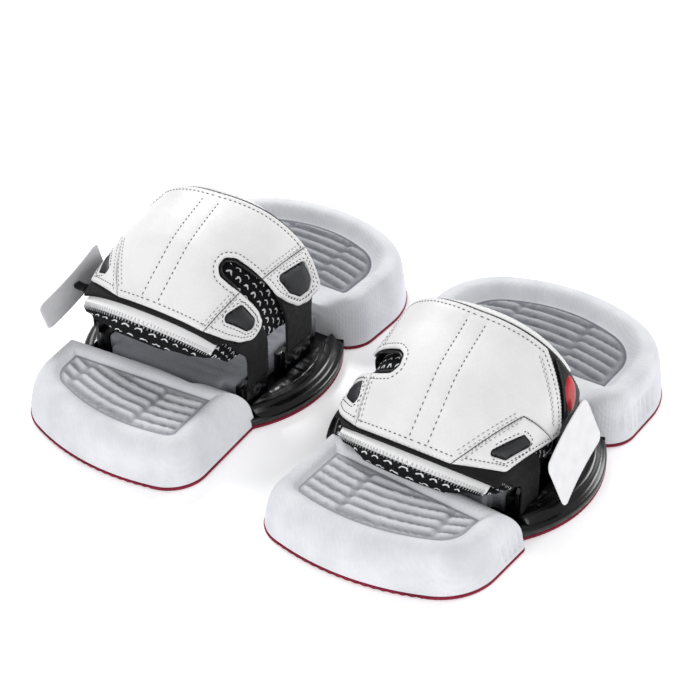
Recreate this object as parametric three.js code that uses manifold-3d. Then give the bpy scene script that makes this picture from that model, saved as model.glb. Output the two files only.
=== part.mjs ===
// A pair of kiteboard foot bindings: pads, base plate and adjustable foot strap, left and right mirrored.
// Millimetres, +Z up, toes toward -Y. Each binding is drawn in its own frame: u toward the other binding,
// v toward the heel, z up, with the middle of the round base plate at u = v = 0.
import * as THREE from 'three';
import { mergeVertices } from 'three/addons/utils/BufferGeometryUtils.js';
import Module from 'manifold-3d';

const wasm = await Module();
wasm.setup();

// ---- driving sizes ---------------------------------------------------------------------------------
const fit = 0.3;               // clearance between pieces that sit against each other
const spacing = 200;           // between the middles of the two base plates
const centreShift = -11.5;     // puts the middle of the pair over the origin
const soleThick = 2.5;
const flange = { r: 90, thick: 5, lip: 1.5 };
const shoulder = { r: 82, top: 13, half: 49 };
const reach = { toe: 149, heel: 174 };       // from the base plate's middle to each end
const halfWidth = { toe: 73, heel: 88 };
const waist = 50;
const insertTop = 24;
const strapHalf = 67;          // half the outside width of the strap where its sides are upright
const strapLength = 88;        // cover, front edge to rear edge
const crown = { at: 42, high: 8 };           // how far the cover swells between its edges
const sideArc = 105;           // strap coordinate from the middle seam to where the sides turn upright
const coverThick = 1.6;
const webThick = 1.8;
const facingThick = 1.2;
const padThick = 9;
const anchor = { thick: 2.4, top: 33 };
const screw = { shank: 2.5, head: 4.5, headThick: 1.2, z: 18, hex: 1.7, hexDeep: 2.2 };
const post = { in: 54 };
const travel = 18;             // how far the looser strap is let out
const insertSlot = { r: 76.2, long: 24, wide: 7 };   // mounting slots on the 6 inch insert pattern
const card = { long: 60, tall: 37, thick: 0.8, corner: 6, lean: 0.31, standOff: 9.5 };
const loopTape = { wide: 6, tall: 3 };
const soleReveal = 0.6;        // how far the sheet shows round the pads
const tread = { high: 1.2, sunk: 1, steps: 5 };
const toeTread = { count: 6, first: -120, pitch: 8, half: 52, endHalf: [40], wide: 3.6, bend: 0.0035, middle: 15 };
const heelTread = {
  count: 8, first: 136, pitch: -9.4, half: 54, endHalf: [30, 44], wide: 3.8, bend: -0.003, middle: 0,
};
const insertEase = { side: 1.5, down: 2 };   // the sloped edge round the arch insert's top
const legGap = 0.9;            // from the pads' underside to the end of an upright strap leg
const liningEnds = { front: 34, rear: 27, from: 14, over: 12 };   // heights where the lining's sides stop

// ---- values that follow from them ------------------------------------------------------------------
const flangeBottom = soleThick + fit;
const flangeTop = flangeBottom + flange.thick;
const padBottom = flangeTop + fit;
const depth = {};              // layers of the strap, measured in from the cover's outside
depth.cover = [0, coverThick];
depth.web = [depth.cover[1] + fit, depth.cover[1] + fit + webThick];
depth.facing = [depth.web[1] + fit, depth.web[1] + fit + facingThick];
depth.pad = [depth.facing[1] + fit, depth.facing[1] + fit + padThick];
const anchorOut = strapHalf - depth.web[1] - fit;
const anchorIn = anchorOut - anchor.thick;
const postOut = anchorIn - fit;
const channel = strapHalf - depth.web[0] + fit;
const cardOut = strapHalf + card.standOff;
const sidePadDepth = strapHalf - postOut;      // the padding stays inboard of the anchors at the sides

// How each strap is set: heights of its arch at the front and rear edge, over the seam and at the sides.
const leftFit = { lift: 0, lip: 0.36, top: [50, 104], spring: [36, 41], seam: [-68, 11], side: [-56, 30] };
const rightFit = { lift: travel, lip: 0.6, top: [78, 122], spring: [52, 56], seam: [-66, 15], side: [-56, 30] };
const leftCard = { v: -6.5, z: 38.5, turn: 0.26, loop: 45.5, root: 0 };
const rightCard = { v: -50, z: 55.5, turn: 0.45, loop: 59.5, root: depth.web[0] };

// ---- shared helpers --------------------------------------------------------------------------------
const lerp = (a, b, t) => a + (b - a) * t;
const p2 = (x, y) => new THREE.Vector2(x, y);
const p3 = (x, y, z) => new THREE.Vector3(x, y, z);

function closed(points, faces) {
  let volume = 0;
  for (const [a, b, c] of faces) {
    volume += points[a].dot(p3().crossVectors(points[b], points[c]));
  }
  const index = faces.flatMap(([a, b, c]) => (volume > 0 ? [a, b, c] : [a, c, b]));
  const geometry = new THREE.BufferGeometry();
  geometry.setAttribute('position', new THREE.Float32BufferAttribute(points.flatMap((p) => p.toArray()), 3));
  geometry.setIndex(index);
  return geometry;
}

// The same surface with its faces turned outward, after a mirroring transform.
function closedFrom(geometry) {
  const p = geometry.attributes.position;
  const points = Array.from({ length: p.count }, (_, i) => p3().fromBufferAttribute(p, i));
  const index = Array.from(geometry.index.array);
  return closed(points, Array.from({ length: index.length / 3 }, (_, i) => index.slice(3 * i, 3 * i + 3)));
}

// Skins a stack of rings that all have the same number of points, with a flat lid on both ends.
function loft(rings, lid) {
  const count = rings[0].length;
  const faces = [];
  for (let r = 0; r + 1 < rings.length; r++) {
    for (let i = 0; i < count; i++) {
      const j = (i + 1) % count;
      const [a, b, c, d] = [r * count + i, r * count + j, (r + 1) * count + j, (r + 1) * count + i];
      faces.push([a, b, c], [a, c, d]);
    }
  }
  const last = (rings.length - 1) * count;
  for (const [a, b, c] of THREE.ShapeUtils.triangulateShape(lid, [])) {
    faces.push([a, c, b], [last + a, last + b, last + c]);
  }
  return closed(rings.flat(), faces);
}

// A polygon with every corner filleted; inset moves each side inward and keeps the number of points.
function rounded(corners, radii, inset = 0, coarse = 1.7) {
  const out = [];
  corners.forEach((corner, i) => {
    const before = corners[(i + corners.length - 1) % corners.length];
    const after = corners[(i + 1) % corners.length];
    const d1 = corner.clone().sub(before).normalize();
    const d2 = after.clone().sub(corner).normalize();
    const n = p2(-d1.y - d2.y, d1.x + d2.x).multiplyScalar(1 / (1 + d1.dot(d2)));
    const turn = Math.atan2(d1.cross(d2), d1.dot(d2));
    const steps = Math.max(1, Math.round(Math.abs(turn) * Math.sqrt(radii[i]) / coarse));
    const r = Math.sign(turn) * (turn > 0 ? Math.max(radii[i] - inset, 0.5) : radii[i] + inset);
    const middle = corner.clone().addScaledVector(n, inset + r);
    const from = Math.atan2(-d1.x, d1.y) + Math.PI;
    for (let k = 0; k <= steps; k++) {
      const angle = from + (turn * k) / steps;
      out.push(p2(middle.x - r * Math.cos(angle), middle.y - r * Math.sin(angle)));
    }
  });
  return out;
}

// Radii scaled down, where they have to be, so that the fillets at both ends of a side fit on it all the way
// up the wall.
function limited(corners, radii, wall) {
  const deepest = wall.at(-1)[0] + 1;
  const at = (i) => corners[(i + corners.length) % corners.length];
  const length = (i) => at(i).distanceTo(at(i + 1));
  const reachOf = corners.map((corner, i) => {
    const [d1, d2] = [corner.clone().sub(at(i - 1)).normalize(), at(i + 1).clone().sub(corner).normalize()];
    return Math.max(radii[i], deepest) * Math.tan(Math.abs(Math.atan2(d1.cross(d2), d1.dot(d2))) / 2);
  });
  const share = (i) => length(i) / (reachOf[i] + reachOf[(i + 1) % corners.length]);
  return radii.map((r, i) => r * Math.min(1, share(i), share((i + corners.length - 1) % corners.length)));
}

const ring = (outline, z) => outline.map((p) => p3(p.x, p.y, z));
const plate = (outline, z0, z1) => loft([ring(outline, z0), ring(outline, z1)], outline);

function circle(r, sides, x = 0, y = 0) {
  return Array.from({ length: sides }, (_, i) => {
    const a = (2 * Math.PI * i) / sides;
    return p2(x + r * Math.cos(a), y + r * Math.sin(a));
  });
}

function box(x0, x1, y0, y1, z0, z1) {
  return plate([p2(x0, y0), p2(x1, y0), p2(x1, y1), p2(x0, y1)], z0, z1);
}

// A round bar along u, from one u to another.
function barU(r, u0, u1, v, z, sides = 10) {
  return plate(circle(r, sides), u0, u1).rotateY(Math.PI / 2).translate(0, v, z);
}

function solid(geometry) {
  const bare = geometry.clone();
  bare.deleteAttribute('normal');
  bare.deleteAttribute('uv');
  const merged = mergeVertices(bare, 1e-5);
  return new wasm.Manifold(new wasm.Mesh({
    numProp: 3,
    vertProperties: new Float32Array(merged.attributes.position.array),
    triVerts: new Uint32Array(merged.index.array),
  }));
}

function surface(body) {
  const mesh = body.getMesh();
  const geometry = new THREE.BufferGeometry();
  geometry.setAttribute('position', new THREE.Float32BufferAttribute(Array.from(mesh.vertProperties), 3));
  geometry.setIndex(Array.from(mesh.triVerts));
  return geometry;
}

const join = (...parts) => parts.map(solid).reduce((a, b) => a.add(b));
const cut = (body, ...tools) => tools.map(solid).reduce((a, b) => a.subtract(b), body);

// ---- outlines of the pads --------------------------------------------------------------------------
// Each wall is a list of how far in from the outline, and how high.
const toeWall = [[0.5, 8], [3.5, 20], [8, 27.5], [14, 31], [19, 30], [22, 27.5]];
const heelWall = [[1, 12], [3.5, 28], [7, 35.5], [12, 37.8], [19, 35.8], [27, 29]];
const toeCorners = [
  p2(halfWidth.toe - 2, -waist), p2(-halfWidth.toe - 3, -waist - 11),
  p2(-halfWidth.toe + 2, -0.8 * reach.toe), p2(0, -reach.toe), p2(halfWidth.toe + 2, -0.886 * reach.toe),
];
const toeRadii = limited(toeCorners, [3, 3, 41, 160, 26], toeWall);
const heelCorners = [
  p2(-halfWidth.heel + 4, waist), p2(halfWidth.heel - 4, waist), p2(halfWidth.heel, 0.8 * reach.heel),
  p2(0, reach.heel), p2(-halfWidth.heel, 0.8 * reach.heel),
];
const heelRadii = limited(heelCorners, [22, 22, 60, 120, 60], heelWall);

// ---- base of each binding --------------------------------------------------------------------------
function soleSheet() {
  const toe = rounded(toeCorners, toeRadii, -soleReveal);
  const heel = rounded(heelCorners, heelRadii, -soleReveal);
  const body = join(plate(toe, 0, soleThick), plate(heel, 0, soleThick), plate(circle(flange.r, 40), 0, soleThick));
  return surface(cut(body, ...mountSlots(-1, soleThick + 1)));
}

function mountSlots(z0, z1) {
  return [-1, 1].map((end) => {
    const [l, w, v] = [insertSlot.long / 2, insertSlot.wide / 2, end * insertSlot.r];
    const corners = [p2(-l, v - w), p2(l, v - w), p2(l, v + w), p2(-l, v + w)];
    return plate(rounded(corners, [w - 0.1, w - 0.1, w - 0.1, w - 0.1]), z0, z1);
  });
}

const legSpans = [[-48, -25], [-4, 26]];       // along v, front leg and rear leg

function basePlate() {
  const dish = [p2(0, flangeBottom), p2(flange.r, flangeBottom), p2(flange.r, flangeTop - flange.lip),
    p2(flange.r - 2, flangeTop), p2(flange.r - 3.2, flangeTop + 0.8), p2(shoulder.r, shoulder.top),
    p2(0, shoulder.top)];
  const turned = new THREE.LatheGeometry(dish, 40).rotateX(Math.PI / 2);
  const far = flange.r + 5;
  let body = cut(solid(turned),
    box(-far, far, -far, -shoulder.half, flangeTop, shoulder.top + 1),
    box(-far, far, shoulder.half, far, flangeTop, shoulder.top + 1),
    box(-channel, channel, -far, far, flangeTop, shoulder.top + 1));
  for (const side of [-1, 1]) {
    for (const [v0, v1] of legSpans) {
      const [u0, u1] = side > 0 ? [post.in, postOut] : [-postOut, -post.in];
      body = body.add(solid(box(u0, u1, v0, v1, flangeTop - 1, insertTop)));
      const v = (v0 + v1) / 2;
      body = cut(body, barU(screw.shank + fit, side * (post.in + 0.8), side * (postOut + 1), v, screw.z));
    }
  }
  return surface(cut(body, ...mountSlots(flangeBottom - 1, flangeTop + 1)));
}

// The raised ribs of a tread, each running across the pad along a shallow curve.
function ribs(set, floor) {
  return Array.from({ length: set.count }, (_, n) => {
    const half = set.endHalf[n] ?? set.half;
    const side = (offset) => Array.from({ length: tread.steps + 1 }, (_unused, i) => {
      const u = lerp(-half, half, i / tread.steps);
      return p2(u, set.bend * (u - set.middle) ** 2 + set.first + set.pitch * n + offset);
    });
    return plate([...side(-set.wide / 2), ...side(set.wide / 2).reverse()], floor - tread.sunk, floor + tread.high);
  });
}

function padBody(corners, radii, wall) {
  const rings = wall.map(([inset, z]) => ring(rounded(corners, radii, inset), z));
  rings.unshift(ring(rounded(corners, radii), flangeBottom));
  return solid(loft(rings, rounded(corners, radii)));
}

const plateRelief = () => plate(circle(flange.r + fit, 40), 0, padBottom);

// The toe pad, cut away along a wave toward the strap.
function toePad() {
  const floor = toeWall.at(-1)[1];
  const trough = [p2(48, -56), p2(46, -45), p2(-46, -45), p2(-46, -58), p2(-12, -63), p2(16, -67), p2(34, -68)];
  const plain = padBody(toeCorners, toeRadii, toeWall);
  const body = ribs(toeTread, floor).map(solid).reduce((all, one) => all.add(one), plain);
  return surface(cut(body, plate(trough, flangeBottom - 1, floor + 20), plateRelief()));
}

// The heel pad, whose rim is open toward the strap.
function heelPad() {
  const floor = heelWall.at(-1)[1];
  const mouth = [p2(-60, waist - 5), p2(60, waist - 5), p2(58, waist + 30), p2(-58, waist + 30)];
  const body = cut(padBody(heelCorners, heelRadii, heelWall), plate(mouth, floor, floor + 20), plateRelief());
  return surface(ribs(heelTread, floor).map(solid).reduce((all, one) => all.add(one), body));
}

function archInsert() {
  const half = post.in - fit;
  const corners = [p2(-half, -46), p2(-44, -46), p2(-44, -56), p2(44, -54), p2(44, -46), p2(half, -46),
    p2(half, waist - 1), p2(-half, waist - 1)];
  const radii = [2, 0.5, 3, 3, 0.5, 2, 3, 3];
  const top = rounded(corners, radii, insertEase.side);
  const full = rounded(corners, radii);
  return loft([ring(full, padBottom), ring(full, insertTop - insertEase.down), ring(top, insertTop)], full);
}

// ---- the strap -------------------------------------------------------------------------------------
// A point of the strap: a runs across the foot from the middle seam, w back from the cover's front edge,
// and deep is how far in from the cover's outside. Past the turn of the sides the strap hangs straight down.
function strapPoint(set, a, w, deep) {
  const t = w / strapLength;
  const s = Math.min(1, Math.abs(a) / sideArc);
  const c = Math.cos((s * Math.PI) / 2) ** (2 / 2.3);
  const sn = Math.sign(a) * Math.sin((s * Math.PI) / 2) ** (2 / 2.3);
  const bulge = crown.high * Math.max(0, Math.min(w / crown.at, (strapLength - w) / (strapLength - crown.at)));
  const top = w < 0 ? set.top[0] + set.lip * w : lerp(set.top[0], set.top[1], t) + bulge;
  const spring = lerp(set.spring[0], set.spring[1], t);
  const u = (strapHalf - deep) * sn;
  const v = lerp(set.side[0], set.side[1], t) * (1 - c) + lerp(set.seam[0], set.seam[1], t) * c;
  const drop = Math.max(0, Math.abs(a) - sideArc);
  return p3(u, v + 0.5 * deep * c, spring + (top - spring) * c - 0.85 * deep * c - drop);
}

const springAt = (set, w) => lerp(set.spring[0], set.spring[1], w / strapLength);
const arcAt = (set, w, z) => sideArc + springAt(set, w) - z;   // strap coordinate of a height on the side
const wAt = (v) => (strapLength * (v - leftFit.side[0])) / (leftFit.side[1] - leftFit.side[0]);

// One shared grid for every layer, so that neighbouring layers nest without touching.
const stations = Array.from({ length: 21 }, (_, i) => (sideArc * (i - 10)) / 10);
const back = [-30, 0, crown.at, strapLength, strapLength + 14];

// A shell between two depths, over the whole grid.
function shell(set, [outer, inner]) {
  const across = [-sideArc - 45, ...stations, sideArc + 45];
  const points = [outer, inner].flatMap((d) => across.flatMap((a) => back.map((w) => strapPoint(set, a, w, d))));
  const rows = back.length;
  const sheet = across.length * rows;
  const faces = [];
  for (let i = 0; i + 1 < across.length; i++) {
    for (let j = 0; j + 1 < rows; j++) {
      const [p, q, r, s] = [i * rows + j, (i + 1) * rows + j, (i + 1) * rows + j + 1, i * rows + j + 1];
      faces.push([p, q, r], [p, r, s], [sheet + p, sheet + r, sheet + q], [sheet + p, sheet + s, sheet + r]);
    }
  }
  const rim = [];
  for (let i = 0; i < across.length; i++) rim.push(i * rows);
  for (let j = 1; j < rows; j++) rim.push((across.length - 1) * rows + j);
  for (let i = across.length - 2; i >= 0; i--) rim.push(i * rows + rows - 1);
  for (let j = rows - 2; j > 0; j--) rim.push(j);
  rim.forEach((p, k) => {
    const q = rim[(k + 1) % rim.length];
    faces.push([q, p, sheet + p], [q, sheet + p, sheet + q]);
  });
  return solid(closed(points, faces));
}

// Cuts a triangle net finer until no edge is longer than the step, splitting shared edges alike.
function refine(points, faces, step) {
  const middles = new Map();
  const middle = (i, j) => {
    if (points[i].distanceTo(points[j]) <= step) return -1;
    const key = i < j ? `${i},${j}` : `${j},${i}`;
    if (!middles.has(key)) middles.set(key, points.push(points[i].clone().lerp(points[j], 0.5)) - 1);
    return middles.get(key);
  };
  const out = [];
  let split = false;
  for (const [a, b, c] of faces) {
    const [ab, bc, ca] = [middle(a, b), middle(b, c), middle(c, a)];
    if (ab < 0 && bc < 0 && ca < 0) { out.push([a, b, c]); continue; }
    split = true;
    if (ab >= 0 && bc >= 0 && ca >= 0) out.push([a, ab, ca], [ab, b, bc], [ca, bc, c], [ab, bc, ca]);
    else if (ab >= 0 && bc >= 0) out.push([ab, b, bc], [a, ab, bc], [a, bc, c]);
    else if (bc >= 0 && ca >= 0) out.push([bc, c, ca], [b, bc, ca], [b, ca, a]);
    else if (ca >= 0 && ab >= 0) out.push([ca, a, ab], [c, ca, ab], [c, ab, b]);
    else if (ab >= 0) out.push([a, ab, c], [ab, b, c]);
    else if (bc >= 0) out.push([b, bc, a], [bc, c, a]);
    else out.push([c, ca, b], [ca, a, b]);
  }
  return split ? refine(points, out, step) : out;
}

// A cutter standing on an outline drawn in strap coordinates, reaching right through every layer.
function cutter(set, outline, from = -4, to = 22) {
  const flat = outline.map((p) => p.clone());
  const faces = refine(flat, THREE.ShapeUtils.triangulateShape(flat.slice(), []), 20);
  const edges = new Map();
  for (const [a, b, c] of faces) {
    for (const [i, j] of [[a, b], [b, c], [c, a]]) {
      if (edges.has(`${j},${i}`)) edges.delete(`${j},${i}`);
      else edges.set(`${i},${j}`, [i, j]);
    }
  }
  const n = flat.length;
  const points = [from, to].flatMap((d) => flat.map((p) => strapPoint(set, p.x, p.y, d)));
  const all = faces.flatMap(([a, b, c]) => [[a, b, c], [n + a, n + c, n + b]]);
  for (const [i, j] of edges.values()) all.push([j, i, n + i], [j, n + i, n + j]);
  return solid(closed(points, all));
}

const outline = (pairs, radii, inset = 0) => rounded(pairs.map(([a, w]) => p2(a, w)),
  Array.isArray(radii) ? radii : pairs.map(() => radii), inset, 4);

// Outlines on the strap, in strap coordinates; positive a is the inner side of the foot.
const coverOutline = [[-66, 8], [-22, 0], [41, 0], [64, 3], [80, 8], [91, 17], [88, 30], [76, 33], [43, 32], [33, 33],
  [28.5, 38], [29.5, 45], [36, 49], [60, 50.5], [80, 51.5], [92, 58], [101, 66], [104, 77], [102, 94], [70, 95],
  [35, 92], [0, 88], [-46, 87.5], [-93, 59], [-98, 54], [-94, 44], [-89, 36]];
const coverRadii = [6, 20, 40, 40, 12, 8, 8, 14, 30, 6, 4, 4, 8, 40, 14, 16, 8, 12, 5, 60, 60, 60, 3, 3, 3, 10, 20];
const innerFrontTab = [[42, -3], [110, -3], [110, 41], [56, 41]];
const innerRearTab = [[60, 41], [112, 41], [112, 100], [71.5, 100]];
const outerFrontTab = [[-20.5, -3], [-57, 40.5], [-112, 48.5], [-112, -3]];
const badgeOutline = [[-50, 88.5], [-91, 88], [-95, 78], [-93.5, 62.5]];
const windows = {
  inner_front: [[50, 11], [78, 17], [82, 22], [78, 27], [60, 27]],
  inner_rear: [[70, 60], [87, 63], [96, 71], [97, 81], [92, 86], [77, 87]],
  outer_front: [[-43, 12], [-65, 32], [-77, 31], [-60, 14]],
};

// One leg of the webbing: from under the cover, down the side and over its anchor.
function legOutline(set, side, front) {
  const bottom = padBottom + legGap + set.lift;
  const [v0, v1] = legSpans[front ? 0 : 1];
  const [w0, w1] = [wAt(v0), wAt(v1)];
  const low = (w) => arcAt(set, w, bottom);
  const wide = front ? [2, 31] : [52, 88];
  const shape = [[40, wide[0]], [86, wide[0]], [arcAt(set, w0, bottom + 20), w0], [low(w0), w0],
    [low(w1), w1], [arcAt(set, w1, bottom + 22), w1], [92, wide[1]], [40, wide[1]]];
  const radii = [2, 20, 20, 2, 2, 20, 20, 2];
  return side > 0 ? outline(shape, radii)
    : outline(shape.map(([a, w]) => [-a, w]).reverse(), radii.slice().reverse());
}

const webOutline = [[-68, -3], [60, -3], [70, 2], [70, 30.5], [45, 34.5], [35, 35.5], [31, 38], [31.5, 43],
  [37, 46.5], [55, 48], [72, 52], [72, 96], [35, 94], [0, 90], [-66, 90], [-74, 80], [-74, 6]];
const webRadii = [4, 10, 4, 4, 20, 6, 3, 3, 6, 20, 4, 3, 60, 60, 4, 8, 8];

// The black layer under the cover, with the four legs that the anchors hold.
function webbing(set) {
  const layer = shell(set, depth.web);
  let shape = cutter(set, outline(webOutline, webRadii));
  for (const side of [-1, 1]) {
    for (const front of [true, false]) shape = shape.add(cutter(set, legOutline(set, side, front)));
  }
  return surface(layer.intersect(shape));
}

// The white cover split along the tab roots, with a window in each tab, and the badge beside it.
function coverPieces(set) {
  const whole = shell(set, depth.cover).intersect(cutter(set, outline(coverOutline, coverRadii)));
  const gap = fit + 0.1;
  const tabs = { inner_front: innerFrontTab, inner_rear: innerRearTab, outer_front: outerFrontTab };
  const pieces = {};
  let body = whole;
  for (const [name, corners] of Object.entries(tabs)) {
    const tab = cutter(set, outline(corners, 0.6));
    const pane = cutter(set, outline(windows[name], 3));
    const frame = cutter(set, outline(windows[name], 3, -gap));
    body = body.subtract(cutter(set, outline(corners, 0.6, -gap)));
    pieces[`${name}_tab`] = surface(whole.intersect(tab).subtract(frame));
    pieces[`${name}_window`] = surface(whole.intersect(pane));
  }
  pieces.strap_cover = surface(body);
  pieces.outer_badge = surface(shell(set, depth.cover).intersect(cutter(set, outline(badgeOutline, [2, 10, 12, 2]))));
  return pieces;
}

// A strip across the arch between two lines of w, ending short of the sides.
function facing(set, w0, w1, spans) {
  const [d0, d1] = depth.facing;
  const kink = back.find((w) => w > w0 && w < w1);
  const rings = stations.slice(10 - spans, 11 + spans).map((a) => {
    const taper = 3 * (a / stations.at(-1)) ** 2;
    return [[w0 + taper, d0], [kink, d0], [w1 - taper, d0], [w1 - taper, d1], [kink, d1], [w0 + taper, d1]]
      .map(([w, d]) => strapPoint(set, a, w, d));
  });
  return loft(rings, rings[0].map((p) => p2(p.y, p.x)));
}

// The padded lining: one rounded section carried across the arch and down inside both sides.
function lining(set) {
  const inside = back.slice(1, -1);
  const ringAt = (a, end) => {
    const side = Math.min(1, Math.abs(a) / stations.at(-2)) ** 2;
    const [d0, d1] = [lerp(depth.pad[0], sidePadDepth, side), depth.pad[1] + 1.2 * side];
    const [w0, w1] = [lerp(-22, -8, side), lerp(strapLength + 10, strapLength + 6, side)];
    const section = [[w0 + 4, d0], ...inside.map((w) => [w, d0]), [w1 - 3, d0], [w1, (d0 + d1) / 2],
      [w1 - 4, d1], ...inside.toReversed().map((w) => [w, d1]), [w0 + 5, d1], [w0, (d0 + d1) / 2]];
    return section.map(([w, d]) => {
      const along = Math.min(1, Math.max(0, w - liningEnds.from) / liningEnds.over);
      const bottom = set.lift + lerp(liningEnds.front, liningEnds.rear, along);
      return strapPoint(set, end ? Math.sign(a) * arcAt(set, w, bottom) : a, w, d);
    });
  };
  const upright = stations.slice(1, -1).map((a) => ringAt(a, false));
  const rings = [ringAt(stations[0], true), ...upright, ringAt(stations.at(-1), true)];
  return loft(rings, rings[0].map((p) => p2(p.y, p.x)));
}

// ---- anchors, screws and the hang tag --------------------------------------------------------------
function legAnchor(side, [v0, v1]) {
  const corners = [p2(v0, flangeTop + fit), p2(v1, flangeTop + fit), p2(v1, anchor.top), p2(v0, anchor.top)];
  const flat = plate(rounded(corners, [1, 1, 5, 5]), anchorIn, anchorOut);
  const up = flat.applyMatrix4(new THREE.Matrix4().set(0, 0, side, 0, 1, 0, 0, 0, 0, 1, 0, 0, 0, 0, 0, 1));
  const middle = (v0 + v1) / 2;
  const inner = side * (anchorOut - screw.headThick - fit);
  return surface(cut(solid(closedFrom(up)),
    barU(screw.shank + fit, side * (anchorIn - 1), side * (anchorOut + 1), middle, screw.z),
    barU(screw.head + fit, inner, side * (anchorOut + 1), middle, screw.z)));
}

function anchorScrew(side, [v0, v1]) {
  const middle = (v0 + v1) / 2;
  const face = anchorOut - 0.05;
  const body = join(barU(screw.shank, side * (post.in + 1.2), side * (face - screw.headThick + 0.1), middle, screw.z),
    barU(screw.head, side * (face - screw.headThick), side * face, middle, screw.z, 14));
  return surface(cut(body, barU(screw.hex, side * (face - screw.hexDeep), side * (face + 1), middle, screw.z, 6)));
}

// The card leans out at the bottom and hangs with its weight under a short tape stitched to the strap's side.
function tagCard(place) {
  const [l, t] = [card.long / 2, card.tall / 2];
  const corners = [p2(-l, -t), p2(l, -t), p2(l, t), p2(-l, t)];
  const flat = plate(rounded(corners, [card.corner, card.corner, card.corner, card.corner]), 0, card.thick);
  flat.applyMatrix4(new THREE.Matrix4().makeRotationZ(place.turn));
  flat.applyMatrix4(new THREE.Matrix4().set(0, 0, -1, 0, 1, 0, 0, 0, 0, 1, 0, 0, 0, 0, 0, 1));
  flat.applyMatrix4(new THREE.Matrix4().makeRotationY(card.lean));
  return closedFrom(flat.translate(-cardOut, place.v, place.z));
}

function tagLoop(place) {
  const [v, z] = [place.v, place.loop];
  const root = strapHalf - place.root + fit;
  const end = cardOut - (z + loopTape.tall / 2 - place.z) * Math.tan(card.lean) - fit;
  return box(-end, -root, v - loopTape.wide / 2, v + loopTape.wide / 2, z - loopTape.tall / 2, z + loopTape.tall / 2);
}

// ---- materials and assembly ------------------------------------------------------------------------
const looks = {
  crimson: { color: 0x8a1634, roughness: 0.75 }, foam: { color: 0xdfe1e6, roughness: 0.85 },
  gloss: { color: 0x0b0b0e, roughness: 0.18 }, leather: { color: 0xeceae8, roughness: 0.5 },
  web: { color: 0x121214, roughness: 0.8 }, mesh: { color: 0x17171c, roughness: 0.9 },
  white: { color: 0xf4f4f4, roughness: 0.7 }, rubber: { color: 0x26272b, roughness: 0.6 },
  badge: { color: 0xb0141e, roughness: 0.45 }, steel: { color: 0x8c8f94, roughness: 0.3, metalness: 1 },
  paper: { color: 0xf7f7f7, roughness: 0.6 },
};

function addTo(group, name, geometry, look) {
  const mesh = new THREE.Mesh(geometry, new THREE.MeshStandardMaterial(looks[look]));
  mesh.name = name;
  group.add(mesh);
}

function binding(side, set, place) {
  const group = new THREE.Group();
  const add = (name, geometry, look) => addTo(group, `${side}_${name}`, geometry, look);
  add('sole_gasket', soleSheet(), 'crimson');
  add('base_plate', basePlate(), 'gloss');
  add('toe_pad', toePad(), 'foam');
  add('heel_pad', heelPad(), 'foam');
  add('arch_insert', archInsert(), 'foam');
  add('strap_lining', lining(set), 'mesh');
  add('front_facing', facing(set, -12.5, 5, 6), 'white');
  add('rear_facing', facing(set, 82, 96, 7), 'white');
  add('strap_webbing', webbing(set), 'web');
  for (const [name, geometry] of Object.entries(coverPieces(set))) {
    add(name, geometry, name.endsWith('window') ? 'rubber' : name.endsWith('badge') ? 'badge' : 'leather');
  }
  for (const [sideName, sign] of [['inner', 1], ['outer', -1]]) {
    for (const [end, span] of [['front', legSpans[0]], ['rear', legSpans[1]]]) {
      add(`${sideName}_${end}_anchor`, legAnchor(sign, span), 'gloss');
      add(`${sideName}_${end}_screw`, anchorScrew(sign, span), 'steel');
    }
  }
  add('tag_loop', tagLoop(place), 'web');
  add('tag_card', tagCard(place), 'paper');
  return group;
}

const pair = new THREE.Group();
const right = binding('right', rightFit, rightCard);
right.position.set(-spacing / 2, centreShift, 0);
const left = binding('left', leftFit, leftCard);
left.position.set(spacing / 2, centreShift, 0);
left.scale.x = -1;
pair.add(right, left);

export default pair;
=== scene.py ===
import math

import bmesh
import bpy
import numpy as np
from mathutils import Matrix, Vector, noise
from mathutils.geometry import delaunay_2d_cdt
from mathutils.kdtree import KDTree


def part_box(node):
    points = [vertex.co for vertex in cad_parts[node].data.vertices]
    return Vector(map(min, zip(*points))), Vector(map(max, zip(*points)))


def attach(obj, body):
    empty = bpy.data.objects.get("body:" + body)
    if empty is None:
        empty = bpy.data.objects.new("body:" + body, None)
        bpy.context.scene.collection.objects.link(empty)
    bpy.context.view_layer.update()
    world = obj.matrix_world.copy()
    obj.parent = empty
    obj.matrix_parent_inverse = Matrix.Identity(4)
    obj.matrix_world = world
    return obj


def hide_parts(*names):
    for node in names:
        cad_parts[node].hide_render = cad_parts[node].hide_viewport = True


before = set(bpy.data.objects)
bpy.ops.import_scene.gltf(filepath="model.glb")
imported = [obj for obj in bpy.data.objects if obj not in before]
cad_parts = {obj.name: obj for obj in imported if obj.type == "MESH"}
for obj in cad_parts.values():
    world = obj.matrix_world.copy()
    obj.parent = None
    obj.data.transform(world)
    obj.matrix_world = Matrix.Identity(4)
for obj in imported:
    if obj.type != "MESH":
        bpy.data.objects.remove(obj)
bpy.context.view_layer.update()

MM = 0.001
ARC_COARSE = 0.45
SHARP = 35
EASED = 5
BESIDE_STEP = 2.2
CIRCLE_SIDES = 160
SIDES = ("right", "left")
FLAPS = ("inner_front", "inner_rear", "outer_front")

plate_low, plate_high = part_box("right_base_plate")
HALF_SPACING = -(plate_low.x + plate_high.x) / 2 / MM
CENTRE_V = (plate_low.y + plate_high.y) / 2 / MM
FLANGE_R = (plate_high.x - plate_low.x) / 2 / MM
FLANGE_BOTTOM = plate_low.z / MM

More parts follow.
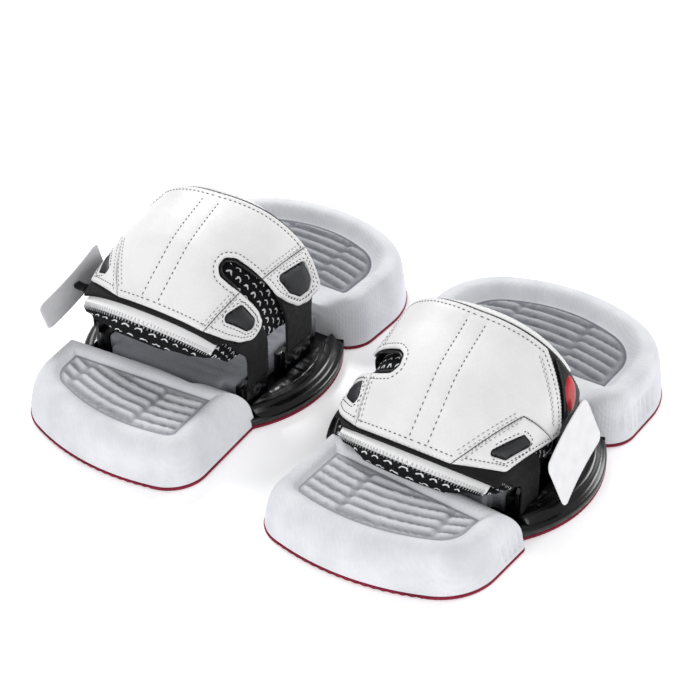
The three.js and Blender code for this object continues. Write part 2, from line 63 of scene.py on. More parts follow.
# ---- camera, light and floor ----
EYE = Vector((0.49870, -0.77411, 0.70396))
LOOK = Vector((-0.43532, 0.68203, -0.58765))
LENS, SENSOR = 88.5, 36
AIM = Vector((0, 0, 0.04))
SKY = 0.42
FLOOR_HALF = 4.0
LAMPS = (  # name, place, size, watts
    ("key", (-0.85, 0.5, 0.95), 0.4, 10.5),
    ("fill", (0.9, -0.7, 0.6), 0.8, 5),
    ("front", (-0.35, -1.2, 0.45), 0.7, 4.5),
    ("back", (0.6, 1.1, 0.6), 0.5, 7),
)


def place_in_scene(made):
    bpy.context.scene.collection.objects.link(made)


def set_stage():
    camera = bpy.data.objects.new("camera", bpy.data.cameras.new("camera"))
    camera.location = EYE
    camera.rotation_euler = LOOK.to_track_quat("-Z", "Y").to_euler()
    camera.data.lens = LENS
    camera.data.sensor_width = SENSOR
    place_in_scene(camera)
    bpy.context.scene.camera = camera
    for name, place, size, watts in LAMPS:
        lamp = bpy.data.objects.new(name, bpy.data.lights.new(name, "AREA"))
        lamp.data.size = size
        lamp.data.energy = watts
        lamp.location = place
        lamp.rotation_euler = (AIM - Vector(place)).to_track_quat("-Z", "Y").to_euler()
        place_in_scene(lamp)
    world = bpy.data.worlds.new("studio")
    world.use_nodes = True
    sky = world.node_tree.nodes["Background"].inputs
    sky["Color"].default_value = (1, 1, 1, 1)
    sky["Strength"].default_value = SKY
    bpy.context.scene.world = world
    bpy.context.scene.view_settings.view_transform = "Standard"
    corners = [(x * FLOOR_HALF, y * FLOOR_HALF, 0) for x, y in ((-1, -1), (1, -1), (1, 1), (-1, 1))]
    mesh_object("floor", corners, [(0, 1, 2, 3)], "floor")


# ---- materials ----
def linear(r, g, b):
    return (*(c / 255 / 12.92 if c <= 10 else ((c / 255 + 0.055) / 1.055) ** 2.4 for c in (r, g, b)), 1)


class Look:
    """A principled material and short ways to add to its node tree."""

    def __init__(self, name, **sockets):
        self.material = bpy.data.materials.new(name)
        self.material.use_nodes = True
        self.tree = self.material.node_tree
        self.shader = self.tree.nodes["Principled BSDF"]
        for key, value in sockets.items():
            self.shader.inputs[key.replace("_", " ")].default_value = value
        self.place = self.node("ShaderNodeTexCoord").outputs["Object"]

    def node(self, kind, **settings):
        made = self.tree.nodes.new(kind)
        for key, value in settings.items():
            setattr(made, key, value)
        return made

    def link(self, source, target):
        self.tree.links.new(source, target)
        return source

    def math(self, operation, a, b=None):
        made = self.node("ShaderNodeMath", operation=operation)
        for socket, value in zip(made.inputs, (a, b)):
            if value is None:
                continue
            if isinstance(value, (int, float)):
                socket.default_value = value
            else:
                self.link(value, socket)
        return made.outputs[0]

    def noise(self, scale, detail=3.0):
        made = self.node("ShaderNodeTexNoise")
        made.inputs["Scale"].default_value = scale
        made.inputs["Detail"].default_value = detail
        self.link(self.place, made.inputs["Vector"])
        return made.outputs["Fac"]

    def cells(self, scale):
        made = self.node("ShaderNodeTexVoronoi")
        made.inputs["Scale"].default_value = scale
        self.link(self.place, made.inputs["Vector"])
        return made.outputs["Distance"]

    def ramp(self, value, low, high, out_low=0, out_high=1):
        made = self.node("ShaderNodeMapRange")
        self.link(value, made.inputs["Value"])
        for key, number in zip(("From Min", "From Max", "To Min", "To Max"), (low, high, out_low, out_high)):
            made.inputs[key].default_value = number
        return made.outputs["Result"]

    def blend(self, amount, first, second):
        made = self.node("ShaderNodeMix", data_type="RGBA")
        self.link(amount, made.inputs[0])
        for socket, value in ((made.inputs[6], first), (made.inputs[7], second)):
            if isinstance(value, tuple):
                socket.default_value = value
            else:
                self.link(value, socket)
        return made.outputs[2]

    def lines(self, source, axis, pitch):
        """Soft ridges across one axis, pitch apart, from 0 to 1."""
        split = self.node("ShaderNodeSeparateXYZ")
        self.link(source, split.inputs[0])
        wave = self.math("SINE", self.math("MULTIPLY", split.outputs[axis], 2 * math.pi / pitch))
        return self.ramp(wave, -1, 1)

    def colour(self, source):
        self.link(source, self.shader.inputs["Base Color"])

    def rough(self, low, high, scale):
        self.link(self.ramp(self.noise(scale), 0.3, 0.7, low, high), self.shader.inputs["Roughness"])

    def bump(self, height, depth, strength=1.0):
        made = self.node("ShaderNodeBump")
        made.inputs["Strength"].default_value = strength
        made.inputs["Distance"].default_value = depth
        self.link(height, made.inputs["Height"])
        if self.shader.inputs["Normal"].is_linked:
            self.link(self.shader.inputs["Normal"].links[0].from_socket, made.inputs["Normal"])
        self.link(made.outputs["Normal"], self.shader.inputs["Normal"])


def foam_look(name, light, dark, grain, tread=None):
    """Closed-cell moulded foam with a fine crossed emboss and pores, and its tread in another shade."""
    look = Look(name, Roughness=0.8, Specular_IOR_Level=0.35)
    turned = look.node("ShaderNodeMapping")
    turned.inputs["Rotation"].default_value = (0.5, 0.5, 0.785)
    look.link(look.place, turned.inputs["Vector"])
    emboss = look.math("MULTIPLY", *(look.lines(turned.outputs[0], axis, grain) for axis in (0, 1)))
    tone = look.blend(look.ramp(look.noise(45), 0.35, 0.7), light, dark)
    tone = look.blend(look.math("MULTIPLY", emboss, 0.22), tone, dark)
    if tread:
        # the tread attribute: a greyer tread tone, with painted shade darker in the grooves than on the
        # crests
        dimmer_tone = look.node("ShaderNodeAttribute", attribute_name="tread").outputs["Fac"]
        tone = look.blend(dimmer_tone, tone, look.blend(look.ramp(look.noise(220), 0.35, 0.7), tread[0], tread[1]))
    look.colour(tone)
    look.rough(0.72, 0.9, 160)
    look.bump(emboss, 0.00018, 0.8)
    look.bump(look.noise(1400, 2), 0.00012, 0.5)
    return look.material


def woven_look(name, light, dark, pitch, rough=0.85, depth=0.0003, coordinate=None):
    """Tape or cloth: warp and weft ridges crossing at a small pitch."""
    look = Look(name, Roughness=rough, Specular_IOR_Level=0.3)
    source = look.place
    if coordinate:
        source = look.node("ShaderNodeAttribute", attribute_name=coordinate).outputs["Vector"]
    weave = look.math("MAXIMUM", look.lines(source, 0, pitch), look.lines(source, 1, pitch * 0.8))
    look.colour(look.blend(look.ramp(weave, 0.4, 1.0), dark, light))
    look.rough(rough - 0.08, min(1.0, rough + 0.08), 220)
    look.bump(weave, depth, 0.8)
    look.bump(look.noise(2200, 2), 0.0001, 0.5)
    return look.material


def leather_look():
    look = Look("white_leather", Roughness=0.5, Specular_IOR_Level=0.45, Coat_Weight=0.12,
                Coat_Roughness=0.35)
    clean, dimmer_tone = linear(237, 236, 236), linear(225, 224, 225)
    tone = look.blend(look.ramp(look.noise(28, 4), 0.4, 0.75), clean, dimmer_tone)
    grain = look.ramp(look.cells(1500), 0.0, 0.62, 1, 0)
    pits = look.math("MULTIPLY", look.ramp(grain, 0, 0.25, 1, 0), 0.2)
    look.colour(look.blend(pits, tone, linear(214, 213, 213)))
    look.rough(0.4, 0.54, 90)
    look.bump(grain, 0.00016, 0.45)
    look.bump(look.noise(320, 3), 0.0003, 0.35)
    return look.material


def crescent_look():
    """Black spacer mesh with small white crescents in staggered rows."""
    look = Look("black_mesh", Roughness=0.9, Specular_IOR_Level=0.2)
    m = look.math
    lay = look.node("ShaderNodeAttribute", attribute_name="lay").outputs["Vector"]
    split = look.node("ShaderNodeSeparateXYZ")
    look.link(lay, split.inputs[0])
    across, along = 9.6, 5.4
    row = m("DIVIDE", split.outputs[1], along)
    shift = m("MULTIPLY", m("FLOORED_MODULO", m("FLOOR", row), 2), 0.5)
    column = m("ADD", m("DIVIDE", split.outputs[0], across), shift)
    x = m("MULTIPLY", m("SUBTRACT", m("FRACT", column), 0.5), across)
    y = m("MULTIPLY", m("SUBTRACT", m("FRACT", row), 0.5), along)
    low = m("ADD", y, 1.9)
    radius = m("SQRT", m("ADD", m("MULTIPLY", x, x), m("MULTIPLY", low, low)))
    band = look.ramp(m("ABSOLUTE", m("SUBTRACT", radius, 2.5)), 0.4, 0.62, 1, 0)
    mark = m("MULTIPLY", band, look.ramp(y, -1.15, -0.85))
    holes = m("MULTIPLY", look.lines(lay, 0, 1.3), look.lines(lay, 1, 1.3))
    cloth = look.blend(holes, linear(20, 20, 23), linear(4, 4, 5))
    look.colour(look.blend(mark, cloth, linear(225, 226, 228)))
    look.bump(holes, 0.0004, 0.7)
    return look.material


def plastic_look(name, colour, low, high, coat=0.0):
    look = Look(name, Roughness=low, Coat_Weight=coat, Coat_Roughness=0.08)
    scuff = look.ramp(look.noise(70, 5), 0.45, 0.8)
    look.colour(look.blend(scuff, colour, tuple(min(1.0, c * 1.3 + 0.001) for c in colour[:3]) + (1,)))
    look.rough(low, high, 60)
    look.bump(look.noise(110, 2), 0.00012, 0.3)
    return look.material


def steel_look():
    look = Look("steel", Roughness=0.3, Metallic=1.0)
    shade = look.ramp(look.noise(260), 0.35, 0.7)
    look.colour(look.blend(shade, linear(150, 152, 156), linear(110, 112, 116)))
    look.rough(0.22, 0.42, 400)
    look.bump(look.noise(1800, 2), 0.00003, 0.4)
    return look.material


def paper_look(name, light, dark, glow=0.0):
    look = Look(name, Roughness=0.65, Emission_Color=light, Emission_Strength=glow)
    look.colour(look.blend(look.ramp(look.noise(120, 4), 0.3, 0.75), light, dark))
    look.rough(0.55, 0.75, 300)
    look.bump(look.noise(1600, 3), 0.00006, 0.5)
    return look.material


LOOKS = {
    # the pad's tread colours: a greyer tread foam, also carrying the painted groove shade
    "pad": foam_look("white_foam", linear(224, 225, 229), linear(208, 210, 215), 0.0021,
                     (linear(122, 125, 132), linear(108, 111, 118))),
    # arch insert: pale grey foam, darkened further as painted shade of the recess under the strap
    "insert": foam_look("grey_foam", linear(148, 150, 156), linear(134, 136, 142), 0.0026),
    "sheet": foam_look("crimson_foam", linear(136, 22, 52), linear(112, 16, 42), 0.0017),
    "gloss": plastic_look("gloss_black_plastic", linear(4, 4, 5), 0.17, 0.28),
    "leather": leather_look(),
    "mesh": crescent_look(),
    "facing": woven_look("white_facing", linear(250, 250, 250), linear(234, 234, 236), 0.85, 0.8, 0.00012,
                         "lay"),
    "webbing": woven_look("black_webbing", linear(11, 11, 12), linear(3, 3, 4), 1.5, 0.55, 0.0003, "lay"),
    "tape": woven_look("loop_tape", linear(34, 34, 37), linear(9, 9, 11), 0.0012),
    "piping": plastic_look("slot_piping", linear(8, 8, 9), 0.3, 0.42),
    "window": plastic_look("window_rubber", linear(30, 31, 34), 0.45, 0.62),
    "badge": plastic_look("badge_rubber", linear(19, 19, 21), 0.35, 0.5),
    "lens": plastic_look("badge_lens", linear(176, 20, 30), 0.25, 0.38, 0.3),
    "thread": woven_look("thread", linear(84, 85, 90), linear(48, 49, 54), 0.0006),
    "pale_thread": woven_look("pale_thread", linear(176, 177, 180), linear(140, 141, 146), 0.0006),
    "white_thread": woven_look("white_thread", linear(236, 236, 236), linear(196, 197, 200), 0.0006),
    "steel": steel_look(),
    "card": paper_look("card", linear(232, 232, 234), linear(222, 222, 225)),
    "floor": paper_look("floor", linear(250, 250, 251), linear(246, 246, 248), 0.3),
}


# ---- mesh helpers ----
def mesh_object(name, points, faces, look=None, smooth=True):
    mesh = bpy.data.meshes.new(name)
    mesh.from_pydata([tuple(map(float, p)) for p in points], [], [tuple(int(i) for i in f) for f in faces])
    mesh.validate()
    made = bpy.data.objects.new(name, mesh)
    place_in_scene(made)
    if look:
        mesh.materials.append(LOOKS[look])
    mesh.polygons.foreach_set("use_smooth", [smooth] * len(mesh.polygons))
    return made


def face_out(made):
    body = bmesh.new()
    body.from_mesh(made.data)
    bmesh.ops.recalc_face_normals(body, faces=body.faces)
    body.to_mesh(made.data)
    body.free()
    return made


def bake(made):
    """Applies every modifier."""
    graph = bpy.context.evaluated_depsgraph_get()
    mesh = bpy.data.meshes.new_from_object(made.evaluated_get(graph))
    made.modifiers.clear()
    made.data = mesh
    return made


def carve(made, *tools, operation="DIFFERENCE"):
    for tool in tools:
        step = made.modifiers.new("carve", "BOOLEAN")
        step.operation = operation
        step.object = tool
        step.solver = "EXACT"
        bpy.context.view_layer.update()
        bake(made)
        bpy.data.objects.remove(tool)
    return made


def soften(made, width):
    step = made.modifiers.new("edges", "BEVEL")
    step.width = width * MM
    step.segments = 2
    step.limit_method = "ANGLE"
    step.angle_limit = math.radians(SHARP)
    step.harden_normals = True
    bake(made)
    return smooth_by_angle(made)


def smooth_by_angle(made, angle=SHARP):
    mesh = made.data
    mesh.polygons.foreach_set("use_smooth", [True] * len(mesh.polygons))
    mesh.set_sharp_from_angle(angle=math.radians(angle))
    return made


def row(side, points):
    """Points in a binding's own frame, in millimetres, to the row frame, in metres."""
    points = np.asarray(points, float)
    sign = -1 if side == "right" else 1
    out = np.empty_like(points)
    out[:, 0] = sign * (HALF_SPACING - points[:, 0])
    out[:, 1] = points[:, 1] + CENTRE_V
    out[:, 2] = points[:, 2]
    return out * MM


def unit(vectors):
    return vectors / np.linalg.norm(vectors, axis=-1, keepdims=True)


def left_of(along):
    """Each flat vector turned a quarter to the left."""
    return np.stack([-along[:, 1], along[:, 0]], 1)


def between(pair, t):
    return pair[0] + (pair[1] - pair[0]) * t


def bands(rows, count, start=0):
    """Quads between rows of count points, each row closed on itself."""
    return [(start + r * count + i, start + r * count + (i + 1) % count,
             start + (r + 1) * count + (i + 1) % count, start + (r + 1) * count + i)
            for r in range(rows - 1) for i in range(count)]


def capped(rows, count, turn=-1):
    """Bands closed at both ends; turn is 1 where the rows run the other way round."""
    last = (rows - 1) * count
    return [*bands(rows, count), tuple(range(count))[::turn], tuple(range(last, last + count))[::-turn]]


def arcs(corners, radii, inset):
    found = []
    for i, corner in enumerate(corners):
        corner, before, after = (np.array(corners[k % len(corners)], float) for k in (i, i - 1, i + 1))
        d1, d2 = unit(corner - before), unit(after - corner)
        n = np.array([-d1[1] - d2[1], d1[0] + d2[0]]) / (1 + d1 @ d2)
        turn = math.atan2(d1[0] * d2[1] - d1[1] * d2[0], d1 @ d2)
        steps = max(1, round(abs(turn) * math.sqrt(radii[i]) / ARC_COARSE))
        r = math.copysign(1, turn) * (max(radii[i] - inset, 0.5) if turn > 0 else radii[i] + inset)
        angle = math.atan2(-d1[0], d1[1]) + math.pi + turn * np.arange(steps + 1) / steps
        found.append(corner + n * (inset + r) - r * np.stack([np.cos(angle), np.sin(angle)], 1))
    return found


def rounded(corners, radii, inset=0.0, step=2.5):
    """A filleted outline with points along its straights; their number doesn't depend on the inset."""
    radii = radii if hasattr(radii, "__len__") else [radii] * len(corners)
    now, base = arcs(corners, radii, inset), arcs(corners, radii, 0.0)
    out = []
    for i, arc in enumerate(now):
        out.extend(arc)
        j = (i + 1) % len(now)
        count = int(np.linalg.norm(base[j][0] - base[i][-1]) / step)
        for k in range(1, count + 1):
            out.append(arc[-1] + (now[j][0] - arc[-1]) * k / (count + 1))
    return np.array(out)


def drawn(corners, radii, inset=0.0, step=2.5):
    """The rounded outline of corners given in either direction."""
    corners = np.array(corners, float)
    after = np.roll(corners, -1, 0)
    area = (corners[:, 0] * after[:, 1] - after[:, 0] * corners[:, 1]).sum()
    return rounded(corners if area > 0 else corners[::-1], radii, inset, step)


def inside(outline, points):
    """Whether each point lies in the outline."""
    x, y = points[:, 0][:, None], points[:, 1][:, None]
    a, b = outline, np.roll(outline, -1, 0)
    crosses = (a[:, 1] > y) != (b[:, 1] > y)
    with np.errstate(divide="ignore", invalid="ignore"):
        at = (b[:, 0] - a[:, 0]) * (y - a[:, 1]) / (b[:, 1] - a[:, 1]) + a[:, 0]
    return (np.sum(crosses & (x < at), 1) % 2).astype(bool)


def distance(points, starts, ends):
    """From each point to the nearest of the segments."""
    best = np.full(len(points), 1e9)
    along = ends - starts
    length = np.maximum((along**2).sum(1), 1e-12)
    for k in range(0, len(points), 2000):
        some = points[k:k + 2000, None, :] - starts[None]
        t = np.clip((some * along).sum(2) / length, 0, 1)
        best[k:k + 2000] = np.sqrt(((some - t[..., None] * along) ** 2).sum(2)).min(1)
    return best


def from_lines(points, lines):
    starts, ends = (np.concatenate([line[part] for line in lines]) for part in (slice(-1), slice(1, None)))
    return distance(points, starts, ends)


def triangles(points, edges, keep):
    made = delaunay_2d_cdt([Vector(p) for p in points], [tuple(map(int, e)) for e in edges], [], 0, 1e-5)
    spots = np.array([tuple(p) for p in made[0]])
    faces = np.array([f for f in made[2] if len(f) == 3])
    return spots, faces[keep(spots[faces].mean(1))]


def rim(faces):
    """Directed edges that only one triangle has."""
    seen = {}
    for a, b, c in faces:
        for i, j in ((a, b), (b, c), (c, a)):
            if (j, i) in seen:
                del seen[(j, i)]
            else:
                seen[(i, j)] = True
    return np.array(list(seen))


class Region:
    """A flat area: in any outline and every common one, outside each hole, with rings along its rim."""

    def __init__(self, outlines, holes=(), pitch=2.4, rings=(0.3, 0.8, 1.6), lines=(), common=()):
        def keep(spots):
            good = np.zeros(len(spots), bool)
            for outline in outlines:
                good |= inside(outline, spots)
            for outline in common:
                good &= inside(outline, spots)
            for hole in holes:
                good &= ~inside(hole, spots)
            return good

        loops = [*outlines, *holes, *common]
        points = np.concatenate(loops)
        edges, start = [], 0
        for loop in loops:
            edges += [(start + i, start + (i + 1) % len(loop)) for i in range(len(loop))]
            start += len(loop)
        spots, faces = triangles(points, edges, keep)
        border = rim(faces)
        used = np.unique(border)
        self.starts, self.ends = spots[border[:, 0]], spots[border[:, 1]]
        middle, inward = (self.starts + self.ends) / 2, left_of(unit(self.ends - self.starts))
        extra = []
        for depth in rings:
            ringed = middle + inward * depth
            extra.append(ringed[self.edge(ringed) > 0.93 * depth])
        low, high = spots[used].min(0), spots[used].max(0)
        u, v = np.meshgrid(np.arange(low[0], high[0], pitch), np.arange(low[1], high[1], pitch))
        u[1::2] += pitch / 2
        grid = np.stack([u.ravel(), v.ravel()], 1)
        if lines:
            beside = np.concatenate([beside_line(line, off) for line in lines for off in (-1.1, 0, 1.1)])
            extra.append(beside[(self.edge(beside) > 1.0) & keep(beside)])
            grid = grid[from_lines(grid, lines) > 1.8]
        extra.append(grid[(self.edge(grid) > rings[-1] + 0.4 * pitch) & keep(grid)])
        new = {old: i for i, old in enumerate(used)}
        fixed = [(new[i], new[j]) for i, j in border]
        self.points, self.faces = triangles(np.concatenate([spots[used], *extra]), fixed, keep)
        self.border = rim(self.faces)
        self.depth = self.edge(self.points)

    def edge(self, points):
        return distance(points, self.starts, self.ends)


def beside_line(line, offset):
    """Points along a line of points, to one side of it."""
    along = np.diff(line, axis=0)
    length = np.linalg.norm(along, axis=1)
    total = np.concatenate([[0], np.cumsum(length)])
    at = np.arange(BESIDE_STEP / 2, total[-1], BESIDE_STEP)
    spots = np.stack([np.interp(at, total, line[:, k]) for k in (0, 1)], 1)
    which = np.clip(np.searchsorted(total, at) - 1, 0, len(along) - 1)
    direction = along[which] / length[which][:, None]
    return spots + left_of(direction) * offset


def sheet_piece(name, region, outer, inner, look, place, lay=False):
    """A thin piece over a region, with its outer and inner sides meeting in a round edge at the rim."""
    count = len(region.points)
    on_rim = np.zeros(count, bool)
    on_rim[np.unique(region.border)] = True
    second = np.arange(count)
    second[~on_rim] = count + np.arange((~on_rim).sum())
    points = np.concatenate([place(region.points, outer), place(region.points[~on_rim], inner[~on_rim])])
    faces = np.concatenate([region.faces, second[region.faces][:, ::-1]])
    made = face_out(mesh_object(name, points, faces, look))
    if lay:
        flat = np.zeros((len(points), 3), np.float32)
        flat[:, :2] = np.concatenate([region.points, region.points[~on_rim]])
        store_lay(made, flat)
    return made


def store_lay(made, flat):
    layer = made.data.attributes.new("lay", "FLOAT_VECTOR", "POINT")
    layer.data.foreach_set("vector", np.asarray(flat, np.float32).ravel())


def round_edge(region, radius):
    """From 0 at the rim to 1 inside, as a quarter circle."""
    t = np.clip(region.depth / radius, 0, 1)
    return np.sqrt(1 - (1 - t) ** 2)


def tube(points, radius, sides=6):
    """Vertices and faces of a closed tube along points; radius is one number, or one for each point."""
    points = np.asarray(points, float)
    radius = np.broadcast_to(radius, len(points))
    along = unit(np.gradient(points, axis=0))
    side = unit(np.cross(along, [0.13, 0.21, 0.97]))
    up = np.cross(side, along)
    angle = 2 * np.pi * np.arange(sides) / sides
    ring = np.cos(angle)[None, :, None] * side[:, None] + np.sin(angle)[None, :, None] * up[:, None]
    return (points[:, None] + ring * radius[:, None, None]).reshape(-1, 3), capped(len(points), sides)


def gather(name, bits, look):
    """One object from several (vertices, faces)."""
    points, faces, start = [], [], 0
    for spots, some in bits:
        points.append(spots)
        faces += [tuple(start + i for i in f) for f in some]
        start += len(spots)
    return face_out(mesh_object(name, np.concatenate(points), faces, look))


def finish_piece(made, body, nodes=()):
    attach(made, body)
    if nodes:
        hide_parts(*nodes)
    return made


# ---- pads, base and sheet ----
TOE = ((71, -50), (-76, -61), (-71, -119.2), (0, -149), (75, -132))
TOE_RADII = (3, 3, 41, 160, 26)
HEEL = ((-84, 50), (84, 50), (88, 139.2), (0, 174), (-88, 139.2))
HEEL_RADII = (22, 22, 60, 120, 60)
TOE_WALL = ((0, 2.8), (0.5, 8), (3.5, 20), (8, 27.5), (13, 30.9), (17.5, 30.4), (20.3, 27.6), (22, 27.3))
HEEL_WALL = ((0, 2.8), (1, 12), (3.5, 28), (7, 35.5), (12, 37.8), (18, 36.9), (24.5, 29.6), (27, 28.8))
PAD_BOTTOM = 8.1
RIB_HIGH, RIB_SUNK = 2.5, 1.0


def eased(points):
    """A smooth line through points, by cubic steps."""
    points = np.array(points, float)
    slope = np.gradient(points, axis=0)
    out = []
    for i in range(len(points) - 1):
        for t in np.arange(EASED) / EASED:
            h = (2 * t**3 - 3 * t**2 + 1, t**3 - 2 * t**2 + t, 3 * t**2 - 2 * t**3, t**3 - t**2)
            out.append(h[0] * points[i] + h[1] * slope[i] + h[2] * points[i + 1] + h[3] * slope[i + 1])
    return np.array([*out, points[-1]])


def step(x, low, high):
    t = np.clip((x - low) / (high - low), 0, 1)
    return t * t * (3 - 2 * t)


def ridges(phase):
    """Rounded ridges with narrower valleys; whole phases are the crests."""
    return np.clip(0.6 + 0.95 * np.cos(2 * np.pi * phase), 0, 1)


def toe_tread(u, v, depth):
    jog = 0.42 * step(u, 19, 25) + 0.38 * (1 - step(u, -40, -34))
    phase = (v + 120 - 0.0035 * (u - 15) ** 2) / 8 + jog
    seam = 1 - 0.75 * np.exp(-(((u - 22) / 2.0) ** 2)) - 0.75 * np.exp(-(((u + 37) / 2.0) ** 2))
    area = step(depth, 22.3, 24.3) * step(58 - np.abs(u), 0, 4)
    area *= step(phase, -0.6, -0.35) * step(5.6 - phase, 0, 0.3)
    return (RIB_HIGH * ridges(phase) * seam - RIB_SUNK) * area


def heel_tread(u, v, depth):
    jog = 0.4 * (1 - step(u, -25, -19)) + 0.35 * step(u, 26, 32)
    phase = (136 - v - 0.003 * u**2) / 9.4 + jog
    seam = 1 - 0.75 * np.exp(-(((u + 22) / 2.0) ** 2)) - 0.6 * np.exp(-(((u - 29) / 2.0) ** 2))
    area = step(depth, 27.3, 29.3) * step(57 - np.abs(u), 0, 4)
    area *= step(phase, -0.6, -0.3) * step(7.7 - phase, 0, 0.3)
    return (RIB_HIGH * ridges(phase) * seam - RIB_SUNK) * area


def pad_mesh(name, corners, radii, wall, tread, notches, grey, mouth=None):
    wall = eased(wall)
    rings = [rounded(corners, radii, inset, step=1.6) for inset, _ in wall]
    count = len(rings[0])
    floor = wall[-1][1]
    points = []
    for (inset, z), ring in zip(wall, rings):
        inward = left_of(unit(np.roll(ring, -1, 0) - np.roll(ring, 1, 0)))
        v0, v1, z0, z1, pitch = notches
        slot = step(np.cos(2 * np.pi * (ring[:, 1] - v0) / pitch), 0.2, 0.7)
        slot *= (ring[:, 0] < -50) & (ring[:, 1] > v0) & (ring[:, 1] < v1)
        slot *= step(np.array([z]), z0, z0 + 1.5) * (1 - step(np.array([z]), z1 - 3, z1))
        ring = ring + inward * slot[:, None] * 1.7
        points.append(np.column_stack([ring, np.full(count, z)]))
    core = Region([rings[-1]], pitch=1.3, rings=(1.0,))
    starts, ends = rings[0], np.roll(rings[0], -1, 0)
    depth = distance(core.points, starts, ends)
    heights = floor + tread(core.points[:, 0], core.points[:, 1], depth)
    base = count * len(rings)
    match = {tuple(np.round(p, 4)): base - count + i for i, p in enumerate(rings[-1])}
    index, extra = [], []
    for p, z in zip(core.points, heights):
        key = tuple(np.round(p, 4))
        if key in match:
            index.append(match[key])
        else:
            index.append(base + len(extra))
            extra.append((p[0], p[1], z))
    points = np.concatenate([*points, np.array(extra)])
    if mouth is not None:
        half, v0, v1, top = mouth
        u, v, z = points.T
        opened = step(half - np.abs(u), 0, 22) * (1 - step(v, v1 - 8, v1)) * (v > v0)
        points[:, 2] = np.where(z > top, z + (top - z) * opened, z)
    faces = bands(len(rings), count)
    faces += [tuple(index[k] for k in f) for f in core.faces]
    faces.append(tuple(range(count))[::-1])
    made = mesh_object(name, row("right", points), faces, "pad")
    # tread attribute: a greyer tone over the tread and the rim's top rings, plus painted groove shade
    shade = made.data.attributes.new("tread", "FLOAT", "POINT")
    lowest = distance(points[:, :2], starts, ends)
    dimmer_tone = step(lowest, grey[0], grey[0] + 2.5) * grey[1]
    dimmer_tone[:count * len(rings)] *= np.repeat([i >= len(rings) - 4 for i in range(len(rings))], count)
    # painted shade: the grooves keep all the darkening, the crests lose a share of it
    dimmer_tone[base:] *= 1 - grey[2] * np.clip((points[base:, 2] - floor + RIB_SUNK) / RIB_HIGH, 0, 1)
    shade.data.foreach_set("value", dimmer_tone.astype(np.float32))
    return made


def prism(outline, z0, z1):
    count = len(outline)
    points = np.concatenate([np.column_stack([outline, np.full(count, z)]) for z in (z0, z1)])
    return face_out(mesh_object("tool", row("right", points), capped(2, count), smooth=False))


def circle(radius):
    angle = 2 * np.pi * np.arange(CIRCLE_SIDES) / CIRCLE_SIDES
    return radius * np.stack([np.cos(angle), np.sin(angle)], 1)


def mirrored(made, name):
    copy = made.copy()
    copy.data = made.data.copy()
    copy.name = name
    place_in_scene(copy)
    copy.data.transform(Matrix.Diagonal((-1, 1, 1, 1)))
    copy.data.flip_normals()
    return copy


def both(made, node):
    """The right-hand piece, and its mirror image on the left."""
    twin = mirrored(made, "left_" + made.name.removeprefix("right_"))
    for side, piece in zip(SIDES, (made, twin)):
        finish_piece(piece, "bases", [f"{side}_{node}"])


def slot_outline(end):
    half, wide, r = 12, 3.5, 76.2 * end
    return rounded([(-half, r - wide), (half, r - wide), (half, r + wide), (-half, r + wide)], wide - 0.1)


def pads_and_base():
    # grey: where the tread tone starts, its strength, and the share the crests lose, leaving painted groove
    # shade
    toe = pad_mesh("right_toe_pad_foam", TOE, TOE_RADII, TOE_WALL, toe_tread,
                   notches=(-88, -62, 5, 19, 5.2), grey=(18, 0.7, 0.85))
    trough = rounded([(48, -56), (46, -40), (-46, -40), (-46, -58), (-12, -63), (16, -67), (34, -68)],
                     [3, 1, 1, 4, 60, 30, 8])
    carve(toe, prism(trough, -2, 60), prism(circle(FLANGE_R + 0.3), -5, PAD_BOTTOM))
    both(smooth_by_angle(toe, 50), "toe_pad")

    heel = pad_mesh("right_heel_pad_foam", HEEL, HEEL_RADII, HEEL_WALL, heel_tread,
                    notches=(60, 98, 7, 25, 6.2), grey=(22, 1.0, 0.4), mouth=(70, 40, 84, 28.8))
    carve(heel, prism(circle(FLANGE_R + 0.3), -5, PAD_BOTTOM))
    both(smooth_by_angle(heel, 50), "heel_pad")

    flat = Region([rounded(TOE, TOE_RADII, -0.6), rounded(HEEL, HEEL_RADII, -0.6), circle(FLANGE_R)],
                  [slot_outline(-1), slot_outline(1)], pitch=9, rings=(0.25, 0.6))
    lift = round_edge(flat, 0.6)
    sheet = sheet_piece("right_sole_sheet", flat, 1.25 + 1.25 * lift, 1.25 - 1.25 * lift, "sheet",
                        lambda p, z: row("right", np.column_stack([p, z])))
    both(sheet, "sole_gasket")

    half = 53.7
    corners = [(-half, -46), (-44, -46), (-44, -56), (44, -54), (44, -46), (half, -46), (half, 49),
               (-half, 49)]
    flat = Region([rounded(corners, [2, 0.5, 3, 3, 0.5, 2, 3, 3])], pitch=2.2, rings=(0.4, 1.1, 2.2))
    u, v = flat.points.T
    high = 24 - 3.2 * (1 - round_edge(flat, 3.2)) - 0.9 * step(flat.depth, 6, 9) * ridges(v / 9)
    insert = sheet_piece("right_arch_foam", flat, high, np.full(len(u), PAD_BOTTOM + 0.1), "insert",
                         lambda p, z: row("right", np.column_stack([p, z])))
    both(insert, "arch_insert")


